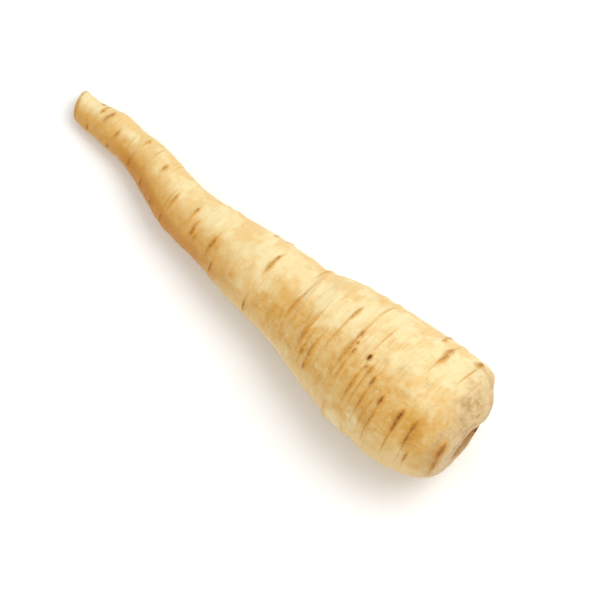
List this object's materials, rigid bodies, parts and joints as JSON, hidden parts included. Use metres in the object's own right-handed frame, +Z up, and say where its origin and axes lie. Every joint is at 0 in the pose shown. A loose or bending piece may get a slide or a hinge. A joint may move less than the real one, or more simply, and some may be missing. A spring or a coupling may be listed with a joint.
{
  "type": "parsnip",
  "caption": "Whole parsnip root, topped and washed, lying on its side: ringed tapering taproot with the trimmed leaf bases in its sunken crown.",
  "frame": {"origin": "on the surface that the root lies on, under the middle of its bounding box", "axes": "+X towards the crown, along the root; +Z up; the tail is at -X"},
  "size_m": [0.229, 0.0596, 0.0583],
  "materials": {
    "parsnip_skin": "cream to golden-tan root skin with a soft waxy sheen, fine golden rings and brown side-root scars",
    "dried_leaf_base": "dry brown fibrous leaf bases, matt"
  },
  "bodies": {
    "root": {"taproot": "parsnip_skin", "leaf_stubs": "dried_leaf_base"}
  },
  "joints": []
}
